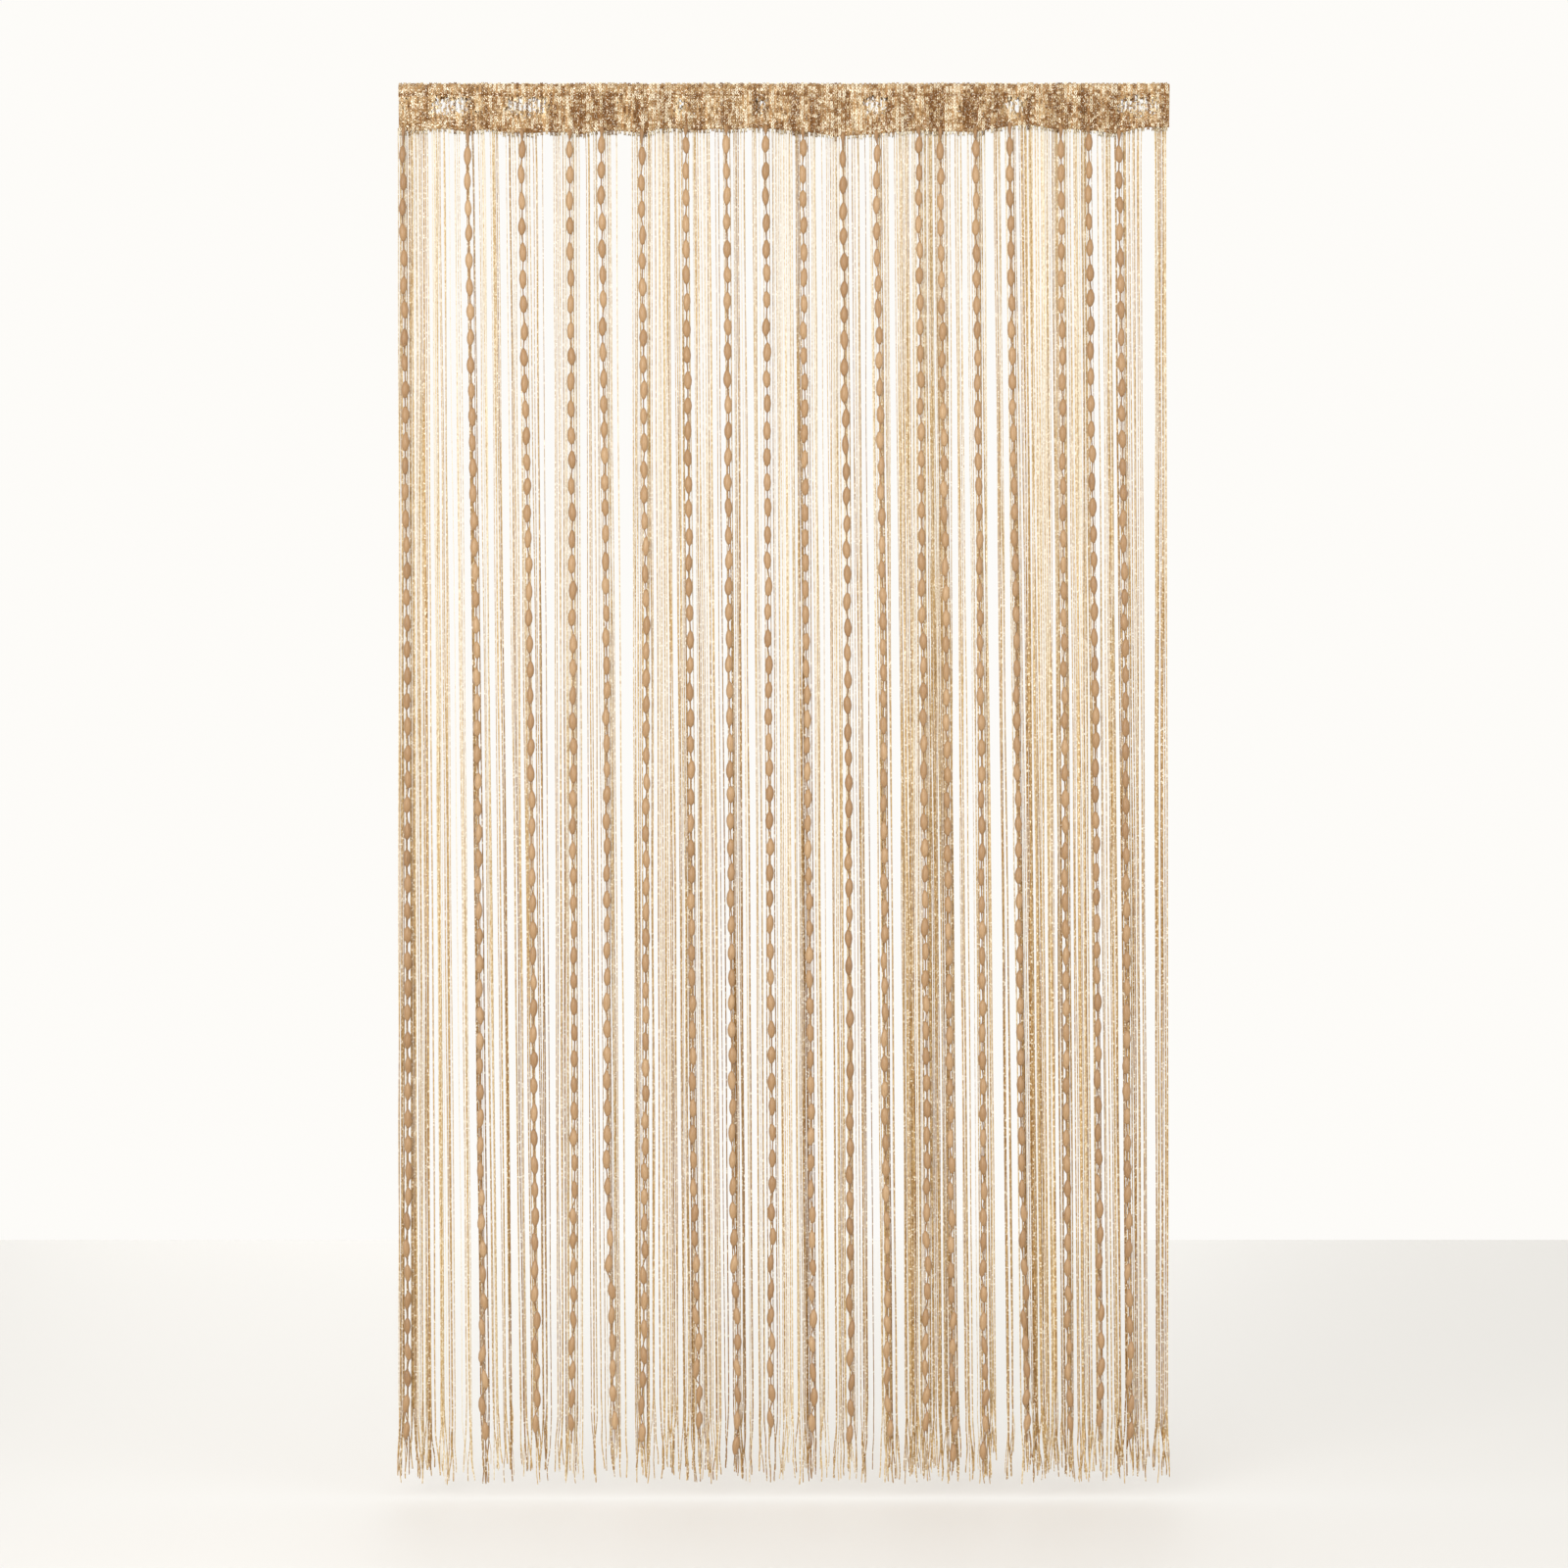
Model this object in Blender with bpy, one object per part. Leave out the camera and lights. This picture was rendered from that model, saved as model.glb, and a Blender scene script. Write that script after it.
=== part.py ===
"""Tassel curtain: a knitted heading with a rod pocket, a row of glitter strings and a row of slub strands.

Units are metres, +Z is up and -Y is the front. The origin is the middle of the heading's top edge, where the
curtain hangs from its rod. The tables give places in millimetres: "at", "left" and "right" from the curtain's
left edge, "height", "first" and "last" down from its top edge, and depths from the middle of the cloth.
"""

import math
import random

import bmesh
import bpy
import numpy as np
from mathutils import Matrix, Vector

MM = 0.001
HANG_WIDTH = 1.100
HANG_HEIGHT = 2.000

# Heading: a knitted band folded over the rod and sewn to itself below the pocket
CLOTH_THICKNESS = 1.5 * MM
FOLD_DEPTH = 3.5 * MM
CREST_SHARE = -0.8
POCKET_OVERRUN = 5 * MM

# Half of the band's section, from its top to its hem: depth, share of the height, share of the fold's depth.
# The pocket is all but the last row.
BAND_SECTION = (
    {"depth": 4.2, "height": 0.0, "fold": 0.0},
    {"depth": 9.4, "height": 0.09, "fold": 0.1},
    {"depth": 6.6, "height": 0.42, "fold": 0.35},
    {"depth": 2.4, "height": 0.76, "fold": 0.9},
    {"depth": 2.2, "height": 1.0, "fold": 1.0},
)

# Grooves that the gathering presses into the band: place, depth as a share, the band's height there
GROOVES = (
    {"at": 12, "depth": 0.5, "height": 69},
    {"at": 35, "depth": 0.9, "height": 68},
    {"at": 66, "depth": 0.6, "height": 65},
    {"at": 97, "depth": 0.9, "height": 70},
    {"at": 128, "depth": 0.7, "height": 66},
    {"at": 152, "depth": 0.7, "height": 71},
    {"at": 192, "depth": 0.8, "height": 71},
    {"at": 226, "depth": 0.8, "height": 70},
    {"at": 259, "depth": 1.0, "height": 73},
    {"at": 301, "depth": 1.0, "height": 67},
    {"at": 349, "depth": 0.8, "height": 72},
    {"at": 377, "depth": 0.9, "height": 64},
    {"at": 418, "depth": 1.0, "height": 67},
    {"at": 475, "depth": 0.8, "height": 66},
    {"at": 522, "depth": 0.6, "height": 64},
    {"at": 567, "depth": 0.8, "height": 69},
    {"at": 596, "depth": 1.0, "height": 71},
    {"at": 622, "depth": 0.7, "height": 77},
    {"at": 681, "depth": 0.7, "height": 73},
    {"at": 725, "depth": 1.0, "height": 69},
    {"at": 763, "depth": 1.0, "height": 69},
    {"at": 823, "depth": 0.9, "height": 70},
    {"at": 861, "depth": 0.8, "height": 63},
    {"at": 899, "depth": 0.6, "height": 60},
    {"at": 937, "depth": 1.0, "height": 66},
    {"at": 985, "depth": 1.0, "height": 67},
    {"at": 1024, "depth": 0.9, "height": 73},
    {"at": 1062, "depth": 0.6, "height": 63},
    {"at": 1090, "depth": 0.9, "height": 63},
)

# Strips that the strands grow from, one behind the other just under the band's lower edge
STRIP_SEAT = 0.3 * MM
STRIP_HEIGHT = 4.5 * MM
ROOT_DEPTH = 2.2 * MM
FRONT_STRIP = {"near": -3.4 * MM, "far": -0.2 * MM}
REAR_STRIP = {"near": 0.2 * MM, "far": 4.8 * MM}

# How far below the top edge the four places of a slub strand are given
LEVELS = {"top": 0.162, "mid": 0.820, "low": 1.540, "end": 1.863}

# Slub strands: place at each level, centre of the first slub and the strand's end
SLUB_STRANDS = (
    {"top": 7, "mid": 13, "low": 14, "end": 11, "first": 103, "last": 1948},
    {"top": 99, "mid": 112, "low": 118, "end": 122, "first": 105, "last": 1950},
    {"top": 176, "mid": 188, "low": 195, "end": 197, "first": 95, "last": 1955},
    {"top": 245, "mid": 249, "low": 251, "end": 246, "first": 94, "last": 1938},
    {"top": 290, "mid": 297, "low": 298, "end": 307, "first": 88, "last": 1960},
    {"top": 347, "mid": 354, "low": 352, "end": 349, "first": 106, "last": 1945},
    {"top": 410, "mid": 416, "low": 421, "end": 427, "first": 90, "last": 1957},
    {"top": 468, "mid": 472, "low": 477, "end": 483, "first": 88, "last": 1962},
    {"top": 524, "mid": 528, "low": 533, "end": 532, "first": 88, "last": 1950},
    {"top": 577, "mid": 582, "low": 589, "end": 592, "first": 93, "last": 1940},
    {"top": 634, "mid": 641, "low": 644, "end": 645, "first": 109, "last": 1965},
    {"top": 682, "mid": 692, "low": 694, "end": 699, "first": 101, "last": 1945},
    {"top": 742, "mid": 748, "low": 754, "end": 753, "first": 90, "last": 1958},
    {"top": 773, "mid": 781, "low": 788, "end": 792, "first": 97, "last": 1972},
    {"top": 823, "mid": 830, "low": 834, "end": 836, "first": 95, "last": 1978},
    {"top": 872, "mid": 881, "low": 889, "end": 896, "first": 92, "last": 1950},
    {"top": 945, "mid": 949, "low": 953, "end": 956, "first": 94, "last": 1942},
    {"top": 984, "mid": 993, "low": 998, "end": 1002, "first": 86, "last": 1952},
    {"top": 1028, "mid": 1036, "low": 1039, "end": 1044, "first": 102, "last": 1960},
)
SLUB_ROWS = (
    {"name": "slub_row_left", "first": 0, "last": 10, "left": 0, "right": 604.7},
    {"name": "slub_row_right", "first": 10, "last": 19, "left": 605.3, "right": 1100},
)
SLUB_PITCH = 37.1
SLUB_RADIUS = 6.0 * MM
NECK_RADIUS = 1.1 * MM
SLUB_LAYER = -8.0 * MM

# Glitter strings hang in bunches with clear gaps between: each bunch's left and right edge at the low level
STRING_BUNCHES = (
    {"left": 2, "right": 52},
    {"left": 59, "right": 78},
    {"left": 95, "right": 101},
    {"left": 113, "right": 124},
    {"left": 132, "right": 140},
    {"left": 149, "right": 160},
    {"left": 173, "right": 183},
    {"left": 190, "right": 211},
    {"left": 219, "right": 220},
    {"left": 231, "right": 264},
    {"left": 273, "right": 289},
    {"left": 296, "right": 309},
    {"left": 318, "right": 319},
    {"left": 339, "right": 365},
    {"left": 374, "right": 395},
    {"left": 402, "right": 423},
    {"left": 430, "right": 453},
    {"left": 461, "right": 466},
    {"left": 474, "right": 501},
    {"left": 513, "right": 520},
    {"left": 530, "right": 561},
    {"left": 569, "right": 607},
    {"left": 625, "right": 650},
    {"left": 658, "right": 668},
    {"left": 675, "right": 676},
    {"left": 688, "right": 709},
    {"left": 723, "right": 748},
    {"left": 755, "right": 796},
    {"left": 808, "right": 816},
    {"left": 829, "right": 848},
    {"left": 864, "right": 871},
    {"left": 884, "right": 897},
    {"left": 902, "right": 923},
    {"left": 930, "right": 936},
    {"left": 945, "right": 959},
    {"left": 969, "right": 987},
    {"left": 996, "right": 1002},
    {"left": 1009, "right": 1010},
    {"left": 1016, "right": 1027},
    {"left": 1035, "right": 1051},
    {"left": 1058, "right": 1067},
    {"left": 1083, "right": 1097},
)
STRING_PITCH = 3.7
STRING_SPREAD = 0.3
STRING_RADIUS = 1.2 * MM
STRING_LAYERS = (1.8 * MM, 3.8 * MM)
SHORTEST_STRING = 1.976
STRAND_SIDES = 3
SEED = 11

YARNS = {
    "heading": {"colour": (0.60, 0.43, 0.25), "roughness": 0.75, "metallic": 0.0},
    "string": {"colour": (0.66, 0.50, 0.32), "roughness": 0.5, "metallic": 0.2},
    "slub": {"colour": (0.60, 0.36, 0.19), "roughness": 0.6, "metallic": 0.0},
}


def across(place):
    """X of a place given in millimetres from the curtain's left edge."""
    return place * MM - HANG_WIDTH / 2


def band_stations():
    """Where the band's section is drawn: x, how far the fold stands back there, and the band's height."""
    folds = [(0.0, 0.0)]
    for groove, following in zip(GROOVES, GROOVES[1:]):
        folds.append((groove["at"], groove["depth"]))
        folds.append(((groove["at"] + following["at"]) / 2, CREST_SHARE))
    folds.append((GROOVES[-1]["at"], GROOVES[-1]["depth"]))
    folds.append((HANG_WIDTH / MM, 0.0))
    places = [groove["at"] for groove in GROOVES]
    heights = [groove["height"] * MM for groove in GROOVES]
    return [
        (across(at), fold * FOLD_DEPTH, float(np.interp(at, places, heights)))
        for at, fold in folds
    ]


STATIONS = band_stations()


def fold_at(x):
    """How far the band's lower edge stands back at x."""
    places, folds, _ = zip(*STATIONS)
    return float(np.interp(x, places, folds))


def height_at(x):
    """The band's height at x."""
    places, _, heights = zip(*STATIONS)
    return float(np.interp(x, places, heights))


def mesh_object(name, bm, collection):
    """An object in a collection, from a bmesh whose faces are turned outwards first."""
    bmesh.ops.recalc_face_normals(bm, faces=bm.faces)
    mesh = bpy.data.meshes.new(name)
    bm.to_mesh(mesh)
    bm.free()
    made = bpy.data.objects.new(name, mesh)
    collection.objects.link(made)
    return made


def helper_object(name, bm):
    """An object that only cuts or joins another, and isn't rendered."""
    made = mesh_object(name, bm, HELPERS)
    made.hide_render = True
    made.display_type = "WIRE"
    return made


def combine(obj, helper, operation):
    """A Boolean of the object with its helper."""
    boolean = obj.modifiers.new(helper.name, "BOOLEAN")
    boolean.operation = operation
    boolean.object = helper


def dye(obj, yarn):
    """Gives an object a material of its own, in one of the yarns."""
    material = bpy.data.materials.new(obj.name)
    material.use_nodes = True
    shader = material.node_tree.nodes["Principled BSDF"]
    shader.inputs["Base Color"].default_value = (*YARNS[yarn]["colour"], 1.0)
    shader.inputs["Roughness"].default_value = YARNS[yarn]["roughness"]
    shader.inputs["Metallic"].default_value = YARNS[yarn]["metallic"]
    obj.data.materials.append(material)


def loft(sections):
    """A closed solid through sections, which are lists of the same number of points."""
    bm = bmesh.new()
    rings = [[bm.verts.new(point) for point in section] for section in sections]
    for ring, following in zip(rings, rings[1:]):
        for i in range(len(ring)):
            bm.faces.new((ring[i - 1], ring[i], following[i], following[i - 1]))
    bm.faces.new(rings[0])
    bm.faces.new(rings[-1])
    return bm


def band_rows(height):
    """The band's half section at full size, for one height: (depth, z, share of the fold)."""
    return [(row["depth"] * MM, -height * row["height"], row["fold"]) for row in BAND_SECTION]


def pocket_rows(height):
    """The pocket's half section: the band's, one cloth thickness inside it and closed by the seam."""
    rows = [(depth - CLOTH_THICKNESS, z, share) for depth, z, share in band_rows(height)[:-1]]
    depth, z, share = rows[0]
    return [(depth, z - CLOTH_THICKNESS, share), *rows[1:]]


def section(x, fold, rows):
    """A closed section at x, down the front and up the back."""
    front = [(x, fold * share - depth, z) for depth, z, share in rows]
    back = [(x, fold * share + depth, z) for depth, z, share in rows]
    return front + back[::-1]


def heading():
    """The knitted band: gathered into folds, with a pocket for the rod that is open at both ends."""
    overruns = [0.0] * len(STATIONS)
    overruns[0], overruns[-1] = -POCKET_OVERRUN, POCKET_OVERRUN
    outer, pocket = [], []
    for (x, fold, height), overrun in zip(STATIONS, overruns):
        outer.append(section(x, fold, band_rows(height)))
        pocket.append(section(x + overrun, fold, pocket_rows(height)))
    band = mesh_object("heading", loft(outer), CURTAIN)
    combine(band, helper_object("rod_pocket", loft(pocket)), "DIFFERENCE")
    dye(band, "heading")


def strip(name, depths, left, right):
    """A narrow strip that follows the band's lower edge between two places."""
    ends = [(x, fold_at(x), height_at(x)) for x in (across(left), across(right))]
    between = [station for station in STATIONS if ends[0][0] < station[0] < ends[1][0]]
    sections = []
    for x, fold, height in [ends[0], *between, ends[1]]:
        top = -height - STRIP_SEAT
        low = top - STRIP_HEIGHT
        near = fold + depths["near"]
        far = fold + depths["far"]
        sections.append([(x, near, top), (x, far, top), (x, far, low), (x, near, low)])
    return mesh_object(name, loft(sections), CURTAIN)


def root_height(x):
    """The height, inside a strip, at which a strand begins."""
    return -height_at(x) - STRIP_SEAT - STRIP_HEIGHT + ROOT_DEPTH


def add_strand(bm, knots):
    """One strand through knots of (point, radius): a three-sided rod with one corner to the front."""
    point, radius = knots[0]
    corner_forward = Matrix.Rotation(math.pi, 4, "Z")
    circle = bmesh.ops.create_circle(
        bm,
        cap_ends=True,
        segments=STRAND_SIDES,
        radius=radius,
        matrix=Matrix.Translation(point) @ corner_forward,
    )
    face = circle["verts"][0].link_faces[0]
    for next_point, next_radius in knots[1:]:
        made = bmesh.ops.extrude_face_region(bm, geom=[face, *face.edges])["geom"]
        face = next(item for item in made if isinstance(item, bmesh.types.BMFace))
        for vert in face.verts:
            vert.co = next_point + (vert.co - point) * (next_radius / radius)
        point, radius = next_point, next_radius


def place_of(strand, depth):
    """A slub strand's place across the curtain, at a depth in millimetres below the top edge."""
    levels = [level / MM for level in LEVELS.values()]
    return float(np.interp(depth, levels, [strand[level] for level in LEVELS]))


def slub_knots(strand):
    """A strand's knots: its root, then thin and thick by turns, thin above the first slub and below the last."""
    x = across(strand["top"])
    root = Vector((x, fold_at(x) + FRONT_STRIP["near"] / 2, root_height(x)))
    knots = [(root, NECK_RADIUS)]
    slubs = round((strand["last"] - strand["first"]) / SLUB_PITCH)
    for i in range(2 * slubs + 1):
        depth = strand["first"] + (i - 1) * SLUB_PITCH / 2
        if -depth * MM < root.z - 2 * ROOT_DEPTH:
            point = Vector((across(place_of(strand, depth)), SLUB_LAYER, -depth * MM))
            knots.append((point, SLUB_RADIUS if i % 2 else NECK_RADIUS))
    return knots


def slub_row(row):
    """A share of the slub strands, on their strip."""
    made = strip(row["name"], FRONT_STRIP, row["left"], row["right"])
    bm = bmesh.new()
    for strand in SLUB_STRANDS[row["first"] : row["last"]]:
        add_strand(bm, slub_knots(strand))
    combine(made, helper_object(row["name"] + "_strands", bm), "UNION")
    dye(made, "slub")


def drift(place, depth):
    """How far a string has moved sideways from its place at the low level, as the slub strands near it do."""
    places = [0.0, *(strand["low"] for strand in SLUB_STRANDS), HANG_WIDTH / MM]
    moves = [place_of(strand, depth) - strand["low"] for strand in SLUB_STRANDS]
    return float(np.interp(place, places, [0.0, *moves, 0.0]))


def string_places():
    """Each glitter string's place at the low level."""
    for bunch in STRING_BUNCHES:
        spaces = round((bunch["right"] - bunch["left"]) / STRING_PITCH)
        yield from np.linspace(bunch["left"], bunch["right"], spaces + 1)


def string_row():
    """Every glitter string, in two layers on the rear strip, with ends that are a little uneven."""
    row = strip("string_row", REAR_STRIP, 0, HANG_WIDTH / MM)
    uneven = random.Random(SEED)
    bm = bmesh.new()
    for count, place in enumerate(string_places()):
        layer = STRING_LAYERS[count % len(STRING_LAYERS)]
        length = uneven.uniform(SHORTEST_STRING, HANG_HEIGHT)
        root_x = across(place + drift(place, 0.0))
        end_x = across(place + drift(place, length / MM) + uneven.uniform(-STRING_SPREAD, STRING_SPREAD))
        root = Vector((root_x, fold_at(root_x) + layer, root_height(root_x)))
        add_strand(bm, [(root, STRING_RADIUS), (Vector((end_x, layer, -length)), STRING_RADIUS)])
    combine(row, helper_object("string_row_strands", bm), "UNION")
    dye(row, "string")


for old in list(bpy.data.objects):
    bpy.data.objects.remove(old)
CURTAIN = bpy.data.collections.new("tassel_curtain")
HELPERS = bpy.data.collections.new("helpers")
bpy.context.scene.collection.children.link(CURTAIN)
bpy.context.scene.collection.children.link(HELPERS)

heading()
string_row()
for slub_share in SLUB_ROWS:
    slub_row(slub_share)
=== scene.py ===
import math
import random

import bmesh
import bpy
import numpy as np
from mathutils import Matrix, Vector, noise
from mathutils.bvhtree import BVHTree


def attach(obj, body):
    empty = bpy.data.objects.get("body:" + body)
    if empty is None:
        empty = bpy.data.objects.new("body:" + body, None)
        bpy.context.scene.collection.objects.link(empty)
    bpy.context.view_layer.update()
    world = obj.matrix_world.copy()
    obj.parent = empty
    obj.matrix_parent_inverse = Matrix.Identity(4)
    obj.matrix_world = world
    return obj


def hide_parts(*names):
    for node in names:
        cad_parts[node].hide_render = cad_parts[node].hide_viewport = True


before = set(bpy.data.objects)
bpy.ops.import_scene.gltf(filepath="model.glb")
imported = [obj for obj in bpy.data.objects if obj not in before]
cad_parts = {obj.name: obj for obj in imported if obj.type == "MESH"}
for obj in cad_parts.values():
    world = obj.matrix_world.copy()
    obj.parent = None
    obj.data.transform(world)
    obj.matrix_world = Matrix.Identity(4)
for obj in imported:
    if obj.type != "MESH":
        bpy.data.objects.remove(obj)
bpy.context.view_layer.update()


# The knitted ground of the heading: one strip of open warp knit in brown and beige yarn, folded over the
# rod and sewn to itself below the pocket. Pushed together along the rod it stands in small folds, and
# where it is pulled flat light comes through it.
BAND_END = 0.5496
BAND_REACH = 0.552
SECTION_STEP = 0.004
SECTION_POINTS = 61
PROBE_TOP = -0.0003
PROBE_STEP = 0.0013
PROBES = 70
CAST_FROM = 0.05
SMOOTHINGS = 2

band_surface = BVHTree.FromObject(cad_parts["heading"], bpy.context.evaluated_depsgraph_get())


def on_band(x):
    """The x itself, or the band's nearer end if x is past it."""
    return max(-BAND_END, min(BAND_END, x))


def band_section(x):
    """The band's section at x: evenly spaced points, from the front hem over the rod to the back one."""
    front, back = [], []
    for step in range(PROBES):
        z = PROBE_TOP - PROBE_STEP * step
        near = band_surface.ray_cast(Vector((x, -CAST_FROM, z)), Vector((0, 1, 0)))[0]
        far = band_surface.ray_cast(Vector((x, CAST_FROM, z)), Vector((0, -1, 0)))[0]
        if near is None:
            break
        front.append(near)
        back.append(far)
    points = np.array([*front[::-1], *back])
    steps = np.linalg.norm(np.diff(points, axis=0), axis=1)
    along = np.concatenate([[0.0], np.cumsum(steps)])
    even = np.linspace(0.0, along[-1], SECTION_POINTS)
    return np.column_stack([np.interp(even, along, points[:, axis]) for axis in range(3)])


section_places = np.arange(-BAND_REACH, BAND_REACH + SECTION_STEP / 2, SECTION_STEP)
band_sections = np.array([band_section(on_band(x)) for x in section_places])
for smoothing in range(SMOOTHINGS):
    # Rounds the folds across the band, and then its turn over the rod
    band_sections[1:-1] = (band_sections[:-2] + 2 * band_sections[1:-1] + band_sections[2:]) / 4
    band_sections[:, 1:-1] = (
        band_sections[:, :-2] + 2 * band_sections[:, 1:-1] + band_sections[:, 2:]
    ) / 4

# Just short of the last section and of its last point, so that each place has a next one to blend with
LAST_COLUMN = len(section_places) - 1.001
LAST_SHARE = 0.9999


def band_point(x, share):
    """The point of the band at x, at a share of the way from its front hem to its back hem."""
    column = min(max((x - section_places[0]) / SECTION_STEP, 0.0), LAST_COLUMN)
    row = min(max(share, 0.0), LAST_SHARE) * (SECTION_POINTS - 1)
    i, j = int(column), int(row)
    u, v = column - i, row - j
    left = band_sections[i, j] * (1 - v) + band_sections[i, j + 1] * v
    right = band_sections[i + 1, j] * (1 - v) + band_sections[i + 1, j + 1] * v
    point = Vector(left * (1 - u) + right * u)
    point.x = x
    return point


def uneven(x, y, layer):
    """Smooth unevenness over a surface, from -1 to 1. Each layer is another one."""
    return noise.noise(Vector((x, y, layer)))


PLEAT_DEPTH = 0.0017
PLEATS_PER_METRE = 105
PLEAT_DRIFT = 2.5
BACK_LAYER = 40.0
SLOPE_WIDTH = 0.002
SLOPE_SHARE = 0.01


def pleat_at(x, share):
    """How far the small upright pleats stand out there, from -1 in a crease to 1 on a ridge."""
    side = 0.0 if share < 0.5 else BACK_LAYER
    return uneven(x * PLEATS_PER_METRE, share * PLEAT_DRIFT, side)


def band_frame(x, share):
    """The band's point there with its small pleats, and the directions across it and outwards."""
    point = band_point(x, share)
    across = (band_point(x + SLOPE_WIDTH, share) - band_point(x - SLOPE_WIDTH, share)).normalized()
    upward = (band_point(x, share + SLOPE_SHARE) - band_point(x, share - SLOPE_SHARE)).normalized()
    outward = across.cross(upward).normalized()
    return point + outward * PLEAT_DEPTH * pleat_at(x, share), across, outward


HEM_SHARE = 0.02


def fold_of(x):
    """How far the band's lower edge stands back at x."""
    return (band_point(x, HEM_SHARE).y + band_point(x, 1 - HEM_SHARE).y) / 2


def soft_step(low, high, value):
    """0 below low, 1 above high and a smooth rise between."""
    share = min(max((value - low) / (high - low), 0.0), 1.0)
    return share * share * (3 - 2 * share)


# Stretches that are pulled flat: left and right end. Their edges fade a little outwards and inwards.
OPEN_STRETCHES = (
    (-0.504, -0.448),
    (-0.399, -0.336),
    (-0.154, -0.140),
    (-0.042, -0.021),
    (0.112, 0.147),
    (0.315, 0.343),
    (0.476, 0.532),
)
FADE_OUT = 0.012
FADE_IN = 0.010
OPEN_BOTTOM = (-0.060, -0.036)
OPEN_TOP = (-0.026, -0.013)
RAGGED = 0.008
SLACK = 0.6


def openness(x, z):
    """How far the knit is pulled open there, from 0 to 1."""
    ragged = RAGGED * uneven(x * 140, z * 110, 3)
    x, z = x + ragged, z + ragged
    level = soft_step(*OPEN_BOTTOM, z) * (1 - soft_step(*OPEN_TOP, z))
    stretched = max(
        soft_step(left - FADE_OUT, left + FADE_IN, x)
        * (1 - soft_step(right - FADE_IN, right + FADE_OUT, x))
        for left, right in OPEN_STRETCHES
    )
    slack = soft_step(0.0, 0.4, uneven(x * 45, z * 30, 12))
    return level * max(stretched, SLACK * slack)


YARN_TONE = 0.89
GROOVE_DEPTH = 0.0035
PAINTED_GROOVE_SHADE = 0.24
RIDGE_LIMIT = -0.8
DARK_LINE_HEIGHT = -0.0175
DARK_LINE_HALF = 0.0025
DARK_LINE_SHADE = 0.3
LOWER_BAND = (-0.056, -0.046)
LOWER_SHADE = 0.03
CREASE_FROM = 0.1
PAINTED_CREASE_SHADE = 1.1
TOP_EDGE = (-0.018, -0.012)
TOP_PALER = 0.08
MOTTLE_SHADE = 0.16
OPEN_SHADE = 0.06


def knit_tone(x, point, share):
    """How light the yarn is, with painted shade in grooves and creases: 0 is brown and 1 is pale gold."""
    facing = 1 if share < 0.5 else -1
    groove = max(RIDGE_LIMIT, min(1.0, facing * fold_of(x) / GROOVE_DEPTH))
    top_edge = soft_step(*TOP_EDGE, point.z)
    # A darker line across the band just below the rod
    dark_line = 1 - min(1.0, abs(point.z - DARK_LINE_HEIGHT) / DARK_LINE_HALF)
    lower_band = 1 - soft_step(*LOWER_BAND, point.z)
    crease = max(0.0, -pleat_at(x, share) - CREASE_FROM)
    mottle = uneven(x * 60, point.z * 90, share)
    # Painted shade: darker in the grooves, partly for the denser yarn there, and in the pleats' creases
    # The strip lies over the rod at its top edge, so folds and creases get less painted shade there
    tone = YARN_TONE - PAINTED_GROOVE_SHADE * groove * (1 - 0.6 * top_edge)
    tone = tone - DARK_LINE_SHADE * dark_line - LOWER_SHADE * lower_band
    tone = tone - PAINTED_CREASE_SHADE * crease * (1 - 0.7 * top_edge)
    return tone + TOP_PALER * top_edge + MOTTLE_SHADE * mottle - OPEN_SHADE * openness(x, point.z)


class Wire:
    """A socket of a material's nodes, on which arithmetic adds Math nodes."""

    def __init__(self, tree, socket=None):
        self.tree = tree
        self.socket = socket

    def node(self, kind, settings, sockets, output=0):
        """Adds a node of any kind. Its settings are set first, then its sockets' values or links."""
        made = self.tree.nodes.new(kind)
        for name, value in settings.items():
            if name == "stops":
                ramp = made.color_ramp
                while len(ramp.elements) < len(value):
                    ramp.elements.new(1.0)
                for stop, (place, colour) in zip(ramp.elements, value):
                    stop.position = place
                    stop.color = (*colour, 1.0)
            else:
                setattr(made, name, value)
        for name, value in sockets.items():
            if isinstance(value, Wire):
                self.tree.links.new(value.socket, made.inputs[name])
            else:
                made.inputs[name].default_value = value
        return Wire(self.tree, made.outputs[output])

    def feed(self, shader, name):
        """Links the wire to one of the shader's own sockets."""
        self.tree.links.new(self.socket, shader.inputs[name])

    def maths(self, operation, first, second):
        return self.node("ShaderNodeMath", {"operation": operation}, {0: first, 1: second})

    def __add__(self, other):
        return self.maths("ADD", self, other)

    def __sub__(self, other):
        return self.maths("SUBTRACT", self, other)

    def __rsub__(self, other):
        return self.maths("SUBTRACT", other, self)

    def __mul__(self, other):
        return self.maths("MULTIPLY", self, other)

    def __gt__(self, other):
        return self.maths("GREATER_THAN", self, other)

    __radd__ = __add__
    __rmul__ = __mul__


def new_material(name):
    """A new material, its shader and a wire to start from."""
    material = bpy.data.materials.new(name)
    material.use_nodes = True
    shader = material.node_tree.nodes["Principled BSDF"]
    return material, shader, Wire(material.node_tree)


def carried(wires, name):
    """A number that the mesh's points carry, such as their tone."""
    return wires.node("ShaderNodeAttribute", {"attribute_name": name}, {}, output="Fac")


def grain(wires, lumps_per_metre, detail=2.0):
    """Noise on the piece's own coordinates, with so many lumps to the metre along each axis."""
    place = wires.node("ShaderNodeTexCoord", {}, {}, output="Object")
    stretched = wires.node(
        "ShaderNodeVectorMath", {"operation": "MULTIPLY"}, {0: place, 1: lumps_per_metre}
    )
    return wires.node(
        "ShaderNodeTexNoise", {}, {"Vector": stretched, "Scale": 1.0, "Detail": detail}
    )


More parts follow.
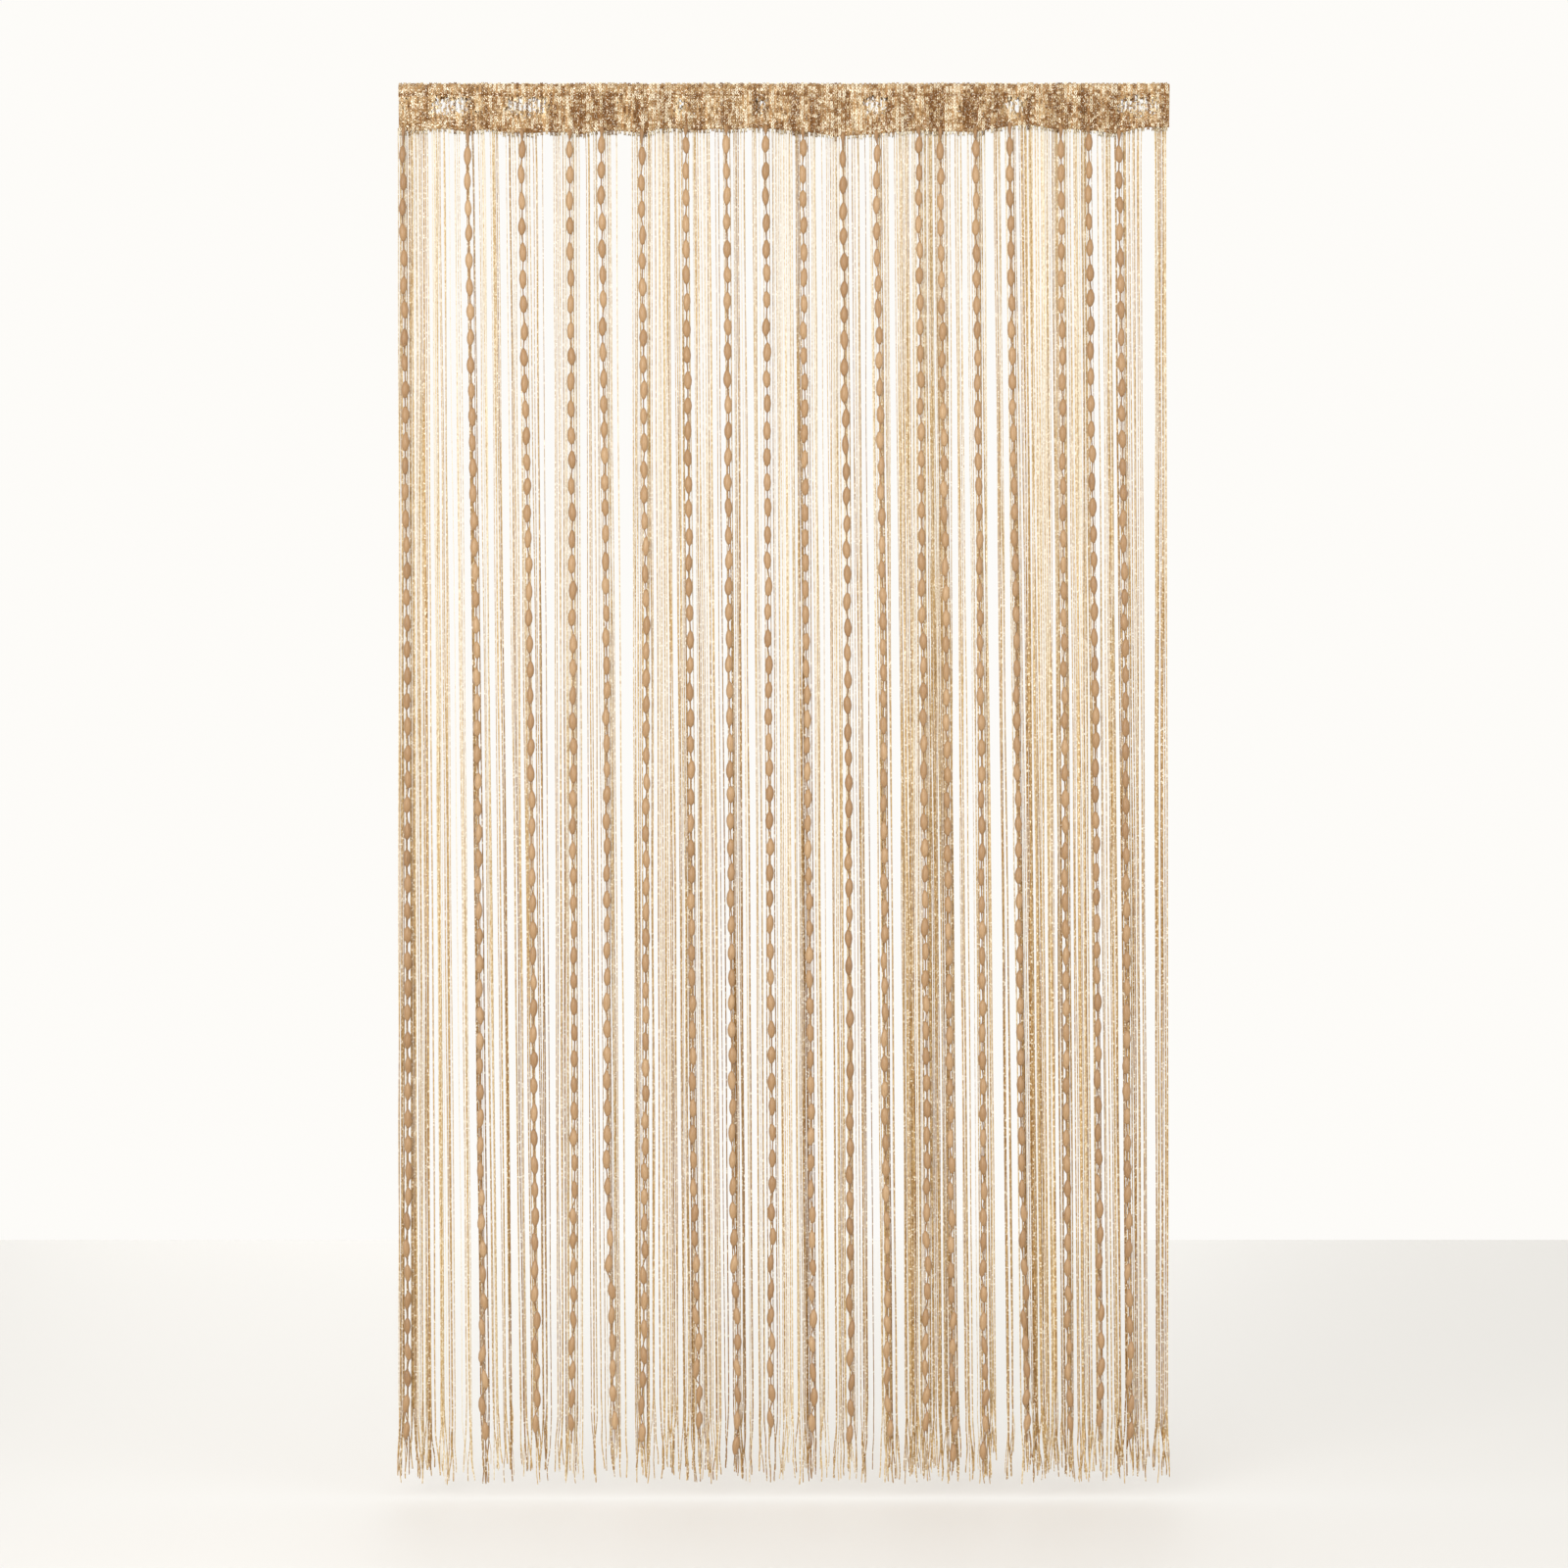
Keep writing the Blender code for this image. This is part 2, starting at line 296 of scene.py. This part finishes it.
def glitter(wires, cells_per_metre, rarity):
    """1 on scattered cells, which are flecks of metal filament, and 0 elsewhere."""
    place = wires.node("ShaderNodeTexCoord", {}, {}, output="Object")
    cell = wires.node(
        "ShaderNodeTexVoronoi", {}, {"Vector": place, "Scale": cells_per_metre}, output="Color"
    )
    return wires.node("ShaderNodeSeparateColor", {}, {"Color": cell}) > rarity


def vary(tone, lumps, amount):
    """A tone that noise from 0 to 1 moves up and down, by half the amount each way."""
    return tone + lumps * amount - amount / 2


def tint(wires, shades, tone):
    """The colour of a tone among a yarn's shades."""
    return wires.node("ShaderNodeValToRGB", {"stops": shades}, {"Fac": tone})


def relief(wires, height, strength, depth):
    """A fine relief of that height, scaled by its depth in metres."""
    return wires.node(
        "ShaderNodeBump", {}, {"Strength": strength, "Distance": depth, "Height": height}
    )


CHAMPAGNE = (0.94, 0.86, 0.69, 1.0)


def feed_with_flecks(shader, colour, roughness, flecks, cover, smoother, metal):
    """Feeds a yarn's colour and roughness, with flecks that cover it and are smoother and of metal."""
    # A Mix node's sockets for colours share their names with others, so they go by number
    flecked = flecks.node(
        "ShaderNodeMix", {"data_type": "RGBA"}, {0: flecks * cover, 6: colour, 7: CHAMPAGNE}, output=2
    )
    flecked.feed(shader, "Base Color")
    (roughness - flecks * smoother).feed(shader, "Roughness")
    (flecks * metal).feed(shader, "Metallic")


KNIT_SHADES = (
    (0.0, (0.215, 0.098, 0.030)),
    (0.3, (0.395, 0.230, 0.098)),
    (0.6, (0.630, 0.458, 0.246)),
    (1.0, (0.955, 0.870, 0.675)),
)


def knit_material(name):
    """Matt brown and beige yarn with flecks of metal filament."""
    material, shader, wires = new_material(name)
    shader.inputs["Specular IOR Level"].default_value = 0.2
    mottle = grain(wires, (420.0, 420.0, 420.0))
    fibres = grain(wires, (2600.0, 2600.0, 900.0), detail=1.0)
    tone = vary(vary(carried(wires, "tone"), mottle, 0.5), fibres, 0.2)
    feed_with_flecks(
        shader,
        colour=tint(wires, KNIT_SHADES, tone),
        roughness=0.78,
        flecks=glitter(wires, 900.0, rarity=0.87),
        cover=0.75,
        smoother=0.42,
        metal=0.65,
    )
    relief(wires, fibres + mottle, strength=0.6, depth=0.0003).feed(shader, "Normal")
    return material, shader, wires


def new_mesh():
    """An empty mesh in the making, whose points each have a tone."""
    bm = bmesh.new()
    bm.verts.layers.float.new("tone")
    return bm


def piece(name, bm, material):
    """A finished piece with smooth faces, which rides on the curtain."""
    mesh = bpy.data.meshes.new(name)
    bm.to_mesh(mesh)
    bm.free()
    mesh.shade_smooth()
    mesh.materials.append(material)
    made = bpy.data.objects.new(name, mesh)
    bpy.context.scene.collection.objects.link(made)
    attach(made, "root")
    return made


GROUND_COLUMNS = 300
GROUND_ROWS = 44
GROUND_INSET = 0.0008
GROUND_THICKNESS = 0.0006
GROUND_PAINTED_SHADE = 0.72
GROUND_OPEN_PALER = 0.45
HOLE_FROM = 0.82
HOLES_WHERE_OPEN = 0.44

ground_knit, ground_shader, ground_wires = knit_material("ground_knit")
ladders = grain(ground_wires, (330.0, 330.0, 190.0), detail=1.0)
pulled = carried(ground_wires, "open") * HOLES_WHERE_OPEN
(1 - (ladders + pulled > HOLE_FROM)).feed(ground_shader, "Alpha")

ground = new_mesh()
ground_open = ground.verts.layers.float.new("open")
ground_tone = ground.verts.layers.float["tone"]
bmesh.ops.create_grid(ground, x_segments=GROUND_COLUMNS, y_segments=GROUND_ROWS, size=0.5)
for vert in ground.verts:
    x = vert.co.x * 2 * BAND_END
    share = vert.co.y + 0.5
    point, _, outward = band_frame(x, share)
    vert.co = point - outward * GROUND_INSET
    vert[ground_open] = openness(x, point.z)
    # Painted shade: the ground is darker, for the shade between the stitches, and paler where pulled open
    tone = knit_tone(x, point, share) - GROUND_PAINTED_SHADE
    vert[ground_tone] = tone + GROUND_OPEN_PALER * vert[ground_open]
heading_ground = piece("heading_ground", ground, ground_knit)
thicken = heading_ground.modifiers.new("cloth", "SOLIDIFY")
thicken.thickness = GROUND_THICKNESS
thicken.offset = 0.0
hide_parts("heading")


# The chain stitches of the heading: the knit's yarn, looped into upright chains of V-shaped stitches, one
# chain beside the other. They are what is seen of the band, and they end unevenly just below its hem,
# where the strands hang from them.
STITCH_LENGTH = 0.0053
STITCH_OVERLAP = 0.06
STITCHES_UP = 16
LEG_SIDES = 4
LEG_RADIUS = 0.0006
LEG_TIP = 0.72
LEG_SWELL = 0.5
LEG_LIFT = 0.0007
LEG_GAP = 0.0003
LEG_SPREAD = 0.0014
LEG_CURVE = 0.8


def upright(edges):
    """Those of a template's edges that run along it, and not round it."""
    return [edge for edge in edges if abs(edge.verts[0].co.z - edge.verts[1].co.z) > STITCH_LENGTH / 2]


chain = new_mesh()
for side in (-1, 1):
    first = len(chain.verts)
    bmesh.ops.create_cone(
        chain,
        cap_ends=True,
        segments=LEG_SIDES,
        radius1=LEG_RADIUS,
        radius2=LEG_RADIUS,
        depth=STITCH_LENGTH,
    )
    corners = set(chain.verts[first:])
    spans = [edge for edge in upright(chain.edges) if edge.verts[0] in corners]
    bmesh.ops.subdivide_edges(chain, edges=spans, cuts=1)
    for vert in chain.verts[first:]:
        up = vert.co.z / STITCH_LENGTH + 0.5
        bulge = math.sin(math.pi * up)
        full = LEG_TIP + LEG_SWELL * bulge
        vert.co.x = vert.co.x * full + side * (LEG_GAP + LEG_SPREAD * up**LEG_CURVE)
        vert.co.y = vert.co.y * full + LEG_LIFT * bulge
        vert.co.z = ((1 + 2 * STITCH_OVERLAP) * up - STITCH_OVERLAP) * STITCH_LENGTH
stitch = chain.verts[:] + chain.edges[:] + chain.faces[:]
for count in range(1, STITCHES_UP):
    copy = bmesh.ops.duplicate(chain, geom=stitch)["geom"]
    bmesh.ops.translate(
        chain,
        vec=(0, 0, count * STITCH_LENGTH),
        verts=[item for item in copy if isinstance(item, bmesh.types.BMVert)],
    )
bmesh.ops.scale(chain, vec=(1, 1, 1 / (STITCHES_UP * STITCH_LENGTH)), verts=chain.verts)
chain_template = bpy.data.meshes.new("chain_template")
chain.to_mesh(chain_template)
chain.free()


def lay(bm, template, route):
    """Adds a straight template to a mesh and lays it along a route. The route takes a share of the
    template's height, and returns the point there, the directions across and outwards, and the tone."""
    tones = bm.verts.layers.float["tone"]
    first = len(bm.verts)
    bm.from_mesh(template)
    stops = {}
    for vert in bm.verts[first:]:
        height = round(vert.co.z, 5)
        if height not in stops:
            stops[height] = route(height)
        point, across, outward, tone = stops[height]
        vert.co = point + across * vert.co.x + outward * vert.co.y
        vert[tones] = tone


def either_way(luck, reach):
    """A random amount, up to reach either way."""
    return luck.uniform(-reach, reach)


TAPE_MARKS = 40


def band_length(x):
    """How long the strip is at x, from its front hem over the rod to its back hem."""
    marks = [band_point(x, mark / TAPE_MARKS) for mark in range(TAPE_MARKS + 1)]
    return sum((after - before).length for before, after in zip(marks, marks[1:]))


HEM_OVERRUN = 0.0045
CHAIN_WANDER = 0.0021
LOOP_SHADE = 0.62
LOOSE_PALER = 0.25
OPEN_NARROWER = 0.3


def chain_route(x, seed, yarn, low, high):
    """The route of one chain, from low to high in metres along the strip from its front hem."""
    length = band_length(x)

    def route(up):
        along = low + (high - low) * up
        share = along / length
        here = on_band(x + CHAIN_WANDER * uneven(seed, band_point(x, share).z * 30, 0))
        point, across, outward = band_frame(here, share)
        point.z += min(along, 0.0) + min(length - along, 0.0)
        loop = noise.cell(Vector((seed, along / STITCH_LENGTH, 9))) - 0.5
        loose_end = soft_step(0.0, HEM_OVERRUN, max(-along, along - length))
        tone = knit_tone(here, point, share) + yarn + LOOP_SHADE * loop + LOOSE_PALER * loose_end
        width = 1.0 - (OPEN_NARROWER + yarn) * openness(here, point.z)
        # The chain climbs from the front hem, so across is turned round to keep its faces outwards
        return point, across * -width, outward, tone

    return route


CHAIN_SPACING = 0.0061
FIRST_CHAIN = 0.002
LAST_CHAIN = 0.001
YARN_SPREAD = 0.26
OVERRUN_SPREAD = (-0.0015, 0.0025)
OPEN_LEVEL = -0.03
OPEN_WIDER = 0.16
GROOVE_CLOSER = 0.22

chain_luck = random.Random(5)
stitches_front = new_mesh()
stitches_back = new_mesh()
chain_x = -BAND_END + FIRST_CHAIN
while chain_x < BAND_END - LAST_CHAIN:
    yarn = either_way(chain_luck, YARN_SPREAD)
    seed = chain_luck.uniform(0.0, 90.0)
    overrun = HEM_OVERRUN + chain_luck.uniform(*OVERRUN_SPREAD)
    length = band_length(chain_x)
    lay(stitches_front, chain_template, chain_route(chain_x, seed, yarn, -overrun, length / 2))
    lay(stitches_back, chain_template, chain_route(chain_x, seed, yarn, length / 2, length + overrun))
    groove = max(0.0, fold_of(chain_x) / GROOVE_DEPTH)
    spread = 1 + OPEN_WIDER * openness(chain_x, OPEN_LEVEL) - GROOVE_CLOSER * groove
    chain_x += CHAIN_SPACING * spread

chain_knit, _, _ = knit_material("chain_knit")
heading_stitches_front = piece("heading_stitches_front", stitches_front, chain_knit)
heading_stitches_back = piece("heading_stitches_back", stitches_back, chain_knit)
for stitches in (heading_stitches_front, heading_stitches_back):
    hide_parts("heading")


# The glitter strings: thin beige strings with a metal filament twisted in, knitted into the heading's last
# row. They hang in two uneven layers and cling together in bunches, and their cut ends are wavy and
# splayed. One to three of them follow each string of the CAD model.
LEVEL_TOP = -0.1
ENDS_BELOW = -1.9


def merged_copy(node):
    """A CAD node's mesh in the making, with its loose triangles joined."""
    bm = bmesh.new()
    bm.from_mesh(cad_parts[node].data)
    bmesh.ops.remove_doubles(bm, verts=bm.verts, dist=0.000002)
    return bm


def joined_groups(bm):
    """The points of a mesh in the making, in groups that its edges join."""
    groups = []
    seen = set()
    for start in bm.verts:
        if start in seen:
            continue
        seen.add(start)
        group = [start]
        for vert in group:
            for edge in vert.link_edges:
                other = edge.other_vert(vert)
                if other not in seen:
                    seen.add(other)
                    group.append(other)
        groups.append(group)
    return groups


string_solids = merged_copy("string_row")
string_ends = sorted(
    (
        face.calc_center_median()
        for face in string_solids.faces
        if face.normal.z < -0.9 and face.calc_center_median().z < ENDS_BELOW
    ),
    key=lambda place: place.x,
)
bmesh.ops.bisect_plane(
    string_solids,
    geom=string_solids.verts[:] + string_solids.edges[:] + string_solids.faces[:],
    plane_co=(0, 0, LEVEL_TOP),
    plane_no=(0, 0, 1),
    clear_inner=True,
    clear_outer=True,
)
string_tops = sorted(
    (
        sum((vert.co for vert in ring), Vector()) / len(ring)
        for ring in joined_groups(string_solids)
    ),
    key=lambda place: place.x,
)
string_solids.free()


def tube(sides, rings):
    """A straight template: a closed tube of radius 1 and height 1, with evenly spaced rings."""
    bm = new_mesh()
    bmesh.ops.create_cone(bm, cap_ends=True, segments=sides, radius1=1, radius2=1, depth=1)
    bmesh.ops.translate(bm, vec=(0, 0, 0.5), verts=bm.verts)
    bmesh.ops.subdivide_edges(bm, edges=upright(bm.edges), cuts=rings - 2)
    mesh = bpy.data.meshes.new("tube_template")
    bm.to_mesh(mesh)
    bm.free()
    return mesh


def round_stop(point, thick, tone):
    """A stop on the route of a round strand that hangs down."""
    return point, Vector((thick, 0, 0)), Vector((0, -thick, 0)), tone


STRING_SIDES = 4
STRING_RINGS = 62
RINGS_TO_END = 1.7
STRING_TOP = 0.004
HEM_LEVEL = -0.066
FREE_LENGTH = 0.05
GATHERING = (0.15, 1.25)
NEAR_X = 0.0020
NEAR_Y = 0.0016
SWAY_X = 0.0014
SWAY_Y = 0.0009
LIMP_LENGTH = 0.130
LIMP_WAVE = 0.0036
SPLAY_X = 0.006
SPLAY_Y = 0.004
CURTAIN_EDGE = 0.551
FLUFF = 0.34
THICK_AND_THIN = 0.16
CUT_END = 0.5
TOP_PALE = 0.18
DEPTH_SHADE = 0.3
SHADING = (0.25, 1.5)

string_template = tube(STRING_SIDES, STRING_RINGS)
string_luck = random.Random(23)


def string_route(top, end, stray, cling, radius, tone):
    """The route of one string: a little astray at first, then close to its bunch, and limp at its end."""
    seed = string_luck.uniform(0.0, 500.0)
    splay = Vector((either_way(string_luck, SPLAY_X), either_way(string_luck, SPLAY_Y), 0))
    near_x = either_way(string_luck, NEAR_X)
    near_y = either_way(string_luck, NEAR_Y)
    # Close enough to the string's root to find how high the hem is there and how far back it stands
    root_x = top.x + (top.x - end.x) * (LEVEL_TOP - HEM_LEVEL) / (LEVEL_TOP - end.z)
    root_y = fold_of(root_x)
    root_z = band_point(on_band(root_x), 0.0).z + STRING_TOP

    def route(share):
        z = root_z + (end.z - root_z) * (1 - (1 - share) ** RINGS_TO_END)
        point = top.lerp(end, (z - LEVEL_TOP) / (end.z - LEVEL_TOP))
        freed = soft_step(0.0, FREE_LENGTH, root_z - z)
        gathered = cling * soft_step(*GATHERING, -z)
        limp = 1 - soft_step(0.0, LIMP_LENGTH, z - end.z)
        wave = LIMP_WAVE * limp
        point.y = root_y + (point.y - root_y) * freed
        point.x += stray + (near_x - stray) * gathered
        point.y += near_y * freed
        point.x += wave * uneven(seed, z * 24, 0)
        point.x += SWAY_X * freed * uneven(seed, z * 3, 7)
        point.y += (wave + SWAY_Y * freed) * uneven(seed, z * 16, 30)
        point += splay * limp * limp
        point.x = max(-CURTAIN_EDGE, min(CURTAIN_EDGE, point.x))
        point.z = z
        thick = radius * (1 + FLUFF * gathered + THICK_AND_THIN * uneven(seed, z * 45, 60))
        if share > 0.999:
            thick *= CUT_END
        shaded = tone + TOP_PALE - DEPTH_SHADE * cling * soft_step(*SHADING, -z)
        return round_stop(point, thick, shaded)

    return route


BUNCH_GAP = 0.0045
FULLER_FROM = 0.17
FIRST_STRAY = 0.0015
NEXT_STRAY = 0.0055
END_STEPS = 0.022
BUNCHES_PER_METRE = 38
BUNCH_SHADE = 0.45
LONER_STRAY = 2.2
LONER_PALER = 0.15
LONER_THINNER = 0.8
LONER_CLING = 0.2

string_pieces = [new_mesh(), new_mesh(), new_mesh()]
for count, (top, end) in enumerate(zip(string_tops, string_ends)):
    beside = [other for other in string_ends[max(0, count - 1) : count + 2] if other != end]
    bunched = min(abs(other.x - end.x) for other in beside) < BUNCH_GAP
    fuller = bunched and end.x > FULLER_FROM
    if fuller:
        copies = string_luck.choice((2, 3, 3))
    elif bunched:
        copies = string_luck.choice((1, 2, 2, 3))
    else:
        copies = string_luck.choice((1, 1, 1, 2))
    bunch_tone = BUNCH_SHADE * uneven(end.x * BUNCHES_PER_METRE, 0, 0)
    target = string_pieces[count * len(string_pieces) // len(string_tops)]
    for number in range(copies):
        stray = either_way(string_luck, NEXT_STRAY if number else FIRST_STRAY)
        loner = number > 0 and string_luck.random() < (0.2 if fuller else 0.4)
        own_end = end + Vector((0, 0, string_luck.uniform(0.0, END_STEPS) * number))
        tone = string_luck.triangular(0.05, 0.95, 0.5) + bunch_tone
        radius = string_luck.uniform(0.00044, 0.00072)
        cling = 1.0
        if loner:
            stray *= LONER_STRAY
            tone += LONER_PALER
            radius *= LONER_THINNER
            cling = LONER_CLING
        lay(target, string_template, string_route(top, own_end, stray, cling, radius, tone))

STRING_SHADES = (
    (0.0, (0.300, 0.160, 0.054)),
    (0.45, (0.545, 0.364, 0.166)),
    (0.75, (0.668, 0.503, 0.275)),
    (1.0, (0.820, 0.730, 0.550)),
)
glitter_string, string_shader, string_wires = new_material("glitter_string")
string_shader.inputs["Specular IOR Level"].default_value = 0.1
string_mottle = grain(string_wires, (340.0, 340.0, 240.0))
twist = grain(string_wires, (1500.0, 1500.0, 700.0), detail=1.0)
string_tone = vary(vary(carried(string_wires, "tone"), string_mottle, 1.5), twist, 0.3)
feed_with_flecks(
    string_shader,
    colour=tint(string_wires, STRING_SHADES, string_tone),
    roughness=0.65,
    flecks=glitter(string_wires, 480.0, rarity=0.88),
    cover=0.8,
    smoother=0.25,
    metal=0.4,
)
relief(string_wires, twist, strength=0.7, depth=0.0003).feed(string_shader, "Normal")
for number, bm in enumerate(string_pieces):
    strings = piece(f"glitter_strings_{number + 1}", bm, glitter_string)
    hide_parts("string_row")


# The slub strands: tan satin yarn spun thick and thin by turns, in barley-shaped slubs on a thin darker
# thread. They are knitted into the heading's hem in front of the strings, and each ends in a loose tail.
FRONT_RIDGES = -0.0135
SAME_STRAND = 0.006


def slub_places(node):
    """The middles of the slubs of a CAD node, strand by strand from the top."""
    solid = merged_copy(node)
    corners = [vert.co.copy() for vert in solid.verts if vert.co.y < FRONT_RIDGES]
    solid.free()
    strands = []
    for corner in sorted(corners, key=lambda place: -place.z):
        for strand in strands:
            if abs(strand[-1].x - corner.x) < SAME_STRAND:
                strand.append(corner)
                break
        else:
            strands.append([corner])
    return sorted(strands, key=lambda strand: strand[0].x)


# The thread where it is knitted in: how far before the fold and above the hem, its radius and its tone
ROOT_RINGS = (
    (0.001, 0.006, 0.0026, 0.35),
    (0.003, -0.001, 0.0033, 0.3),
    (0.005, -0.009, 0.0019, 0.25),
)
ROOM_FOR_LAST_RING = 0.026
HEM_CLEARANCE = 0.003
SLUB_SIDES = 8
SLUB_DEPTH = -0.008
SLUB_RADIUS = 0.0059
SLUB_HALF = 0.0134
SLUB_PROFILE = (-1.0, -0.92, -0.75, -0.45, 0.0, 0.45, 0.75, 0.92, 1.0)
SLUB_BELLY = 2.1
SLUB_SHOULDER = 0.8
SLUB_SWAY = 0.0009
SLUB_TILT = 0.05
SLUB_TONE_SPREAD = 0.14
LOOSE_PART = (-1.45, -1.85)
LOOSE_SWAY = 0.0016
NECK_RADIUS = 0.0009
NECK_TONE = 0.1
TAIL_SWAY = 0.003
LOWEST = -1.9985

slub_luck = random.Random(31)


def slub_strand(bm, places):
    """One strand through the middles of its slubs."""
    root_x = places[0].x
    hem = band_point(root_x, 0.0).z
    rings = [
        (Vector((root_x, fold_of(root_x) - before, hem + above)), thick, tone)
        for before, above, thick, tone in ROOT_RINGS
    ]
    if places[0].z >= hem - ROOM_FOR_LAST_RING:
        rings.pop()
    strand_tone = slub_luck.uniform(0.42, 0.62)
    for place in places:
        loose = soft_step(*LOOSE_PART, place.z)
        sway = SLUB_SWAY + LOOSE_SWAY * loose
        middle = Vector(
            (
                place.x + either_way(slub_luck, sway),
                SLUB_DEPTH + either_way(slub_luck, 0.001),
                place.z + either_way(slub_luck, 0.0016),
            )
        )
        tilt = either_way(slub_luck, SLUB_TILT) * (1 + 2 * loose)
        radius = SLUB_RADIUS * slub_luck.uniform(0.86, 1.05) * (1 - 0.08 * loose)
        half = SLUB_HALF * slub_luck.uniform(0.92, 1.06)
        skew = slub_luck.uniform(-0.1, 0.15)
        slub_tone = strand_tone + either_way(slub_luck, SLUB_TONE_SPREAD)
        if middle.z + half > hem - HEM_CLEARANCE:
            continue
        for along in SLUB_PROFILE:
            leaning = along - skew * (1 - along * along)
            swell = max(0.0, 1 - abs(leaning) ** SLUB_BELLY) ** SLUB_SHOULDER
            thick = NECK_RADIUS + (radius - NECK_RADIUS) * swell
            point = middle + Vector((tilt * along * half, 0, -along * half))
            tone = NECK_TONE + (slub_tone - NECK_TONE) * min(1.0, 0.3 + 1.3 * swell)
            rings.append((point, thick, tone))
    tail = rings[-1][0]
    drop = min(slub_luck.uniform(0.010, 0.022), tail.z - LOWEST)
    sway = either_way(slub_luck, TAIL_SWAY)
    rings.append((tail + Vector((sway * 0.4, 0.001, -drop * 0.5)), NECK_RADIUS * 0.9, 0.3))
    rings.append((tail + Vector((sway, 0.002, -drop)), NECK_RADIUS * 0.6, 0.35))
    rings.sort(key=lambda ring: -ring[0].z)
    last = len(rings) - 1
    lay(bm, tube(SLUB_SIDES, last + 1), lambda share: round_stop(*rings[round(share * last)]))


SLUB_SHADES = (
    (0.0, (0.130, 0.072, 0.032)),
    (0.3, (0.310, 0.170, 0.072)),
    (0.6, (0.395, 0.236, 0.112)),
    (1.0, (0.560, 0.380, 0.210)),
)
slub_satin, slub_shader, slub_wires = new_material("slub_satin")
slub_shader.inputs["Sheen Weight"].default_value = 0.08
slub_shader.inputs["Sheen Roughness"].default_value = 0.4
streaks = grain(slub_wires, (900.0, 900.0, 60.0), detail=3.0)
lumps = grain(slub_wires, (160.0, 160.0, 70.0), detail=1.0)
satin_tone = vary(vary(carried(slub_wires, "tone"), streaks, 0.8), lumps, 0.2)
tint(slub_wires, SLUB_SHADES, satin_tone).feed(slub_shader, "Base Color")
vary(0.4, streaks, 0.14).feed(slub_shader, "Roughness")
relief(slub_wires, streaks + lumps * 0.5, strength=0.4, depth=0.0005).feed(slub_shader, "Normal")
for node in ("slub_row_left", "slub_row_right"):
    slubs = new_mesh()
    for places in slub_places(node):
        slub_strand(slubs, places)
    strands = piece(node.replace("row", "strands"), slubs, slub_satin)
    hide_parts(node)


# Floor, light and camera: a plain pale floor under the hanging curtain, a large soft light from the front
# left with weaker ones from the right and from behind, and the camera straight in front, at half the
# curtain's height.
FLOOR_HEIGHT = -2.02
FLOOR_MIDDLE = -0.6
FLOOR_HALF = (4.5, 3.6, 1)
FLOOR_PAINT = (0.69, 0.68, 0.66, 1.0)
ROOM_LIGHT = (1.0, 0.985, 0.955, 1.0)
ROOM_STRENGTH = 0.985
CURTAIN_MIDDLE = Vector((0, 0, -1.0))
CAMERA_DISTANCE = 5.284

floor_mesh = bmesh.new()
bmesh.ops.create_grid(floor_mesh, x_segments=1, y_segments=1, size=1)
bmesh.ops.scale(floor_mesh, vec=FLOOR_HALF, verts=floor_mesh.verts)
bmesh.ops.translate(floor_mesh, vec=(0, FLOOR_MIDDLE, FLOOR_HEIGHT), verts=floor_mesh.verts)
floor_data = bpy.data.meshes.new("floor")
floor_mesh.to_mesh(floor_data)
floor_mesh.free()
floor = bpy.data.objects.new("floor", floor_data)
bpy.context.scene.collection.objects.link(floor)
floor_paint, floor_shader, _ = new_material("floor_paint")
floor_shader.inputs["Base Color"].default_value = FLOOR_PAINT
floor_shader.inputs["Roughness"].default_value = 0.6
floor_data.materials.append(floor_paint)

world = bpy.data.worlds.new("room")
world.use_nodes = True
world.node_tree.nodes["Background"].inputs["Color"].default_value = ROOM_LIGHT
world.node_tree.nodes["Background"].inputs["Strength"].default_value = ROOM_STRENGTH
bpy.context.scene.world = world

for name, place, size, power in (
    ("key", (-1.7, -4.4, 0.6), 3.3, 150),
    ("fill", (2.8, -2.6, -0.4), 2.0, 20),
    ("back", (-0.4, 4.6, 0.2), 3.4, 42),
):
    lamp = bpy.data.lights.new(name, "AREA")
    lamp.shape = "SQUARE"
    lamp.size = size
    lamp.energy = power
    light = bpy.data.objects.new(name, lamp)
    light.location = place
    towards = CURTAIN_MIDDLE - Vector(place)
    light.rotation_euler = towards.to_track_quat("-Z", "Y").to_euler()
    bpy.context.scene.collection.objects.link(light)

camera_data = bpy.data.cameras.new("camera")
camera_data.lens = 85
camera_data.sensor_width = 36
camera = bpy.data.objects.new("camera", camera_data)
camera.location = (0.0, -CAMERA_DISTANCE, CURTAIN_MIDDLE.z)
camera.rotation_euler = (math.radians(90), 0, 0)
bpy.context.scene.collection.objects.link(camera)
bpy.context.scene.camera = camera
bpy.context.scene.view_settings.view_transform = "Standard"
